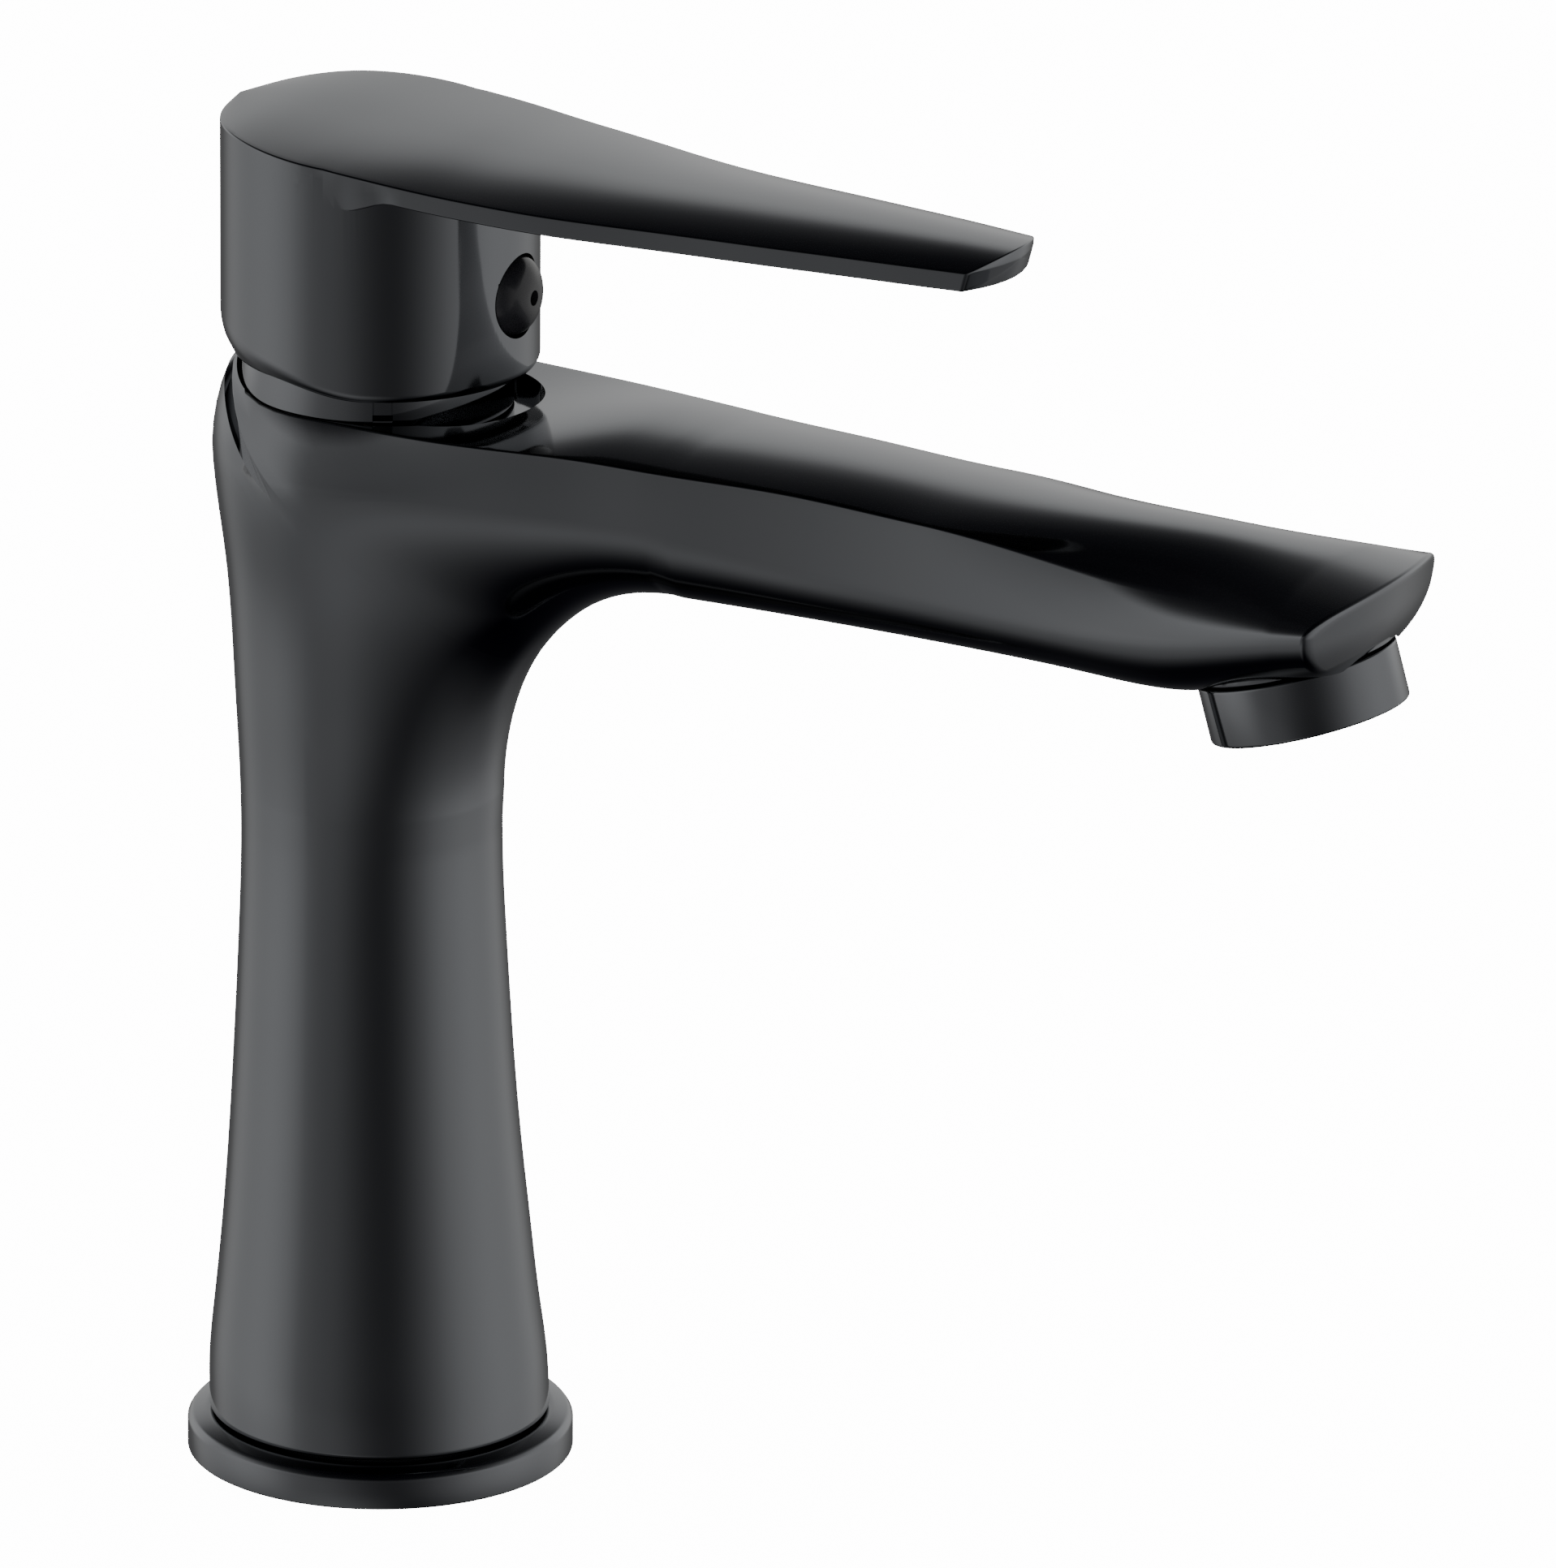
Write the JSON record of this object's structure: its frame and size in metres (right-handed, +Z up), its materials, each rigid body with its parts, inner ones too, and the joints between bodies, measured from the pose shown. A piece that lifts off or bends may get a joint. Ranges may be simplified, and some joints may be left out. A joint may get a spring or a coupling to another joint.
{
  "type": "basin mixer faucet",
  "caption": "Single-lever basin mixer: waisted column, angled spout with tilted aerator, drum handle with flat lever, ceramic-disc cartridge.",
  "frame": {"origin": "centre of the deck face under the base ring", "axes": "+Z up the column, the spout and the lever point toward -Y, +X is the side of the cold port"},
  "size_m": [0.05, 0.1701, 0.1802],
  "materials": {
    "black_chrome": "polished black chrome plating on cast brass",
    "brass": "machined",
    "steel": "stainless",
    "rubber": "moulded seal",
    "ceramic": "lapped alumina",
    "plastic": "moulded acetal",
    "dark_plastic": "moulded black"
  },
  "bodies": {
    "root": {"faucet_body": "black_chrome", "base_ring": "black_chrome", "base_gasket": "rubber", "hot_inlet_nipple": "brass", "cold_inlet_nipple": "brass", "hot_inlet_oring": "rubber", "cold_inlet_oring": "rubber", "port_seal_hot": "rubber", "port_seal_cold": "rubber", "port_seal_outlet": "rubber", "cartridge_base": "plastic", "ceramic_disc_fixed": "ceramic", "cartridge_housing": "plastic", "cartridge_nut": "brass", "trim_sleeve": "black_chrome", "aerator_housing": "black_chrome", "aerator_insert": "dark_plastic", "aerator_screen": "steel", "aerator_washer": "rubber"},
    "mixer": {"stem_carrier": "plastic", "pivot_pin": "steel"},
    "valve_disc": {"ceramic_disc_moving": "ceramic", "disc_driver": "plastic"},
    "lever": {"cartridge_stem": "brass", "handle": "black_chrome", "grub_screw": "steel", "screw_cover": "dark_plastic"}
  },
  "joints": [
    {"name": "mixing_turn", "type": "hinge", "parent": "root", "child": "mixer", "pos_m": [0, 0, 0.1375], "axis": [0, 0, 1], "range_deg": [-45, 45]},
    {"name": "lever_lift", "type": "hinge", "parent": "mixer", "child": "lever", "pos_m": [0, 0, 0.1375], "axis": [-1, 0, 0], "range_deg": [0, 20]},
    {"name": "disc_slide", "type": "slide", "parent": "mixer", "child": "valve_disc", "axis": [0, -1, 0], "range_m": [0, 0.0027]}
  ],
  "couplings": [
    {"joint": "disc_slide", "follows": "lever_lift", "m_per_rad": 0.0075}
  ]
}
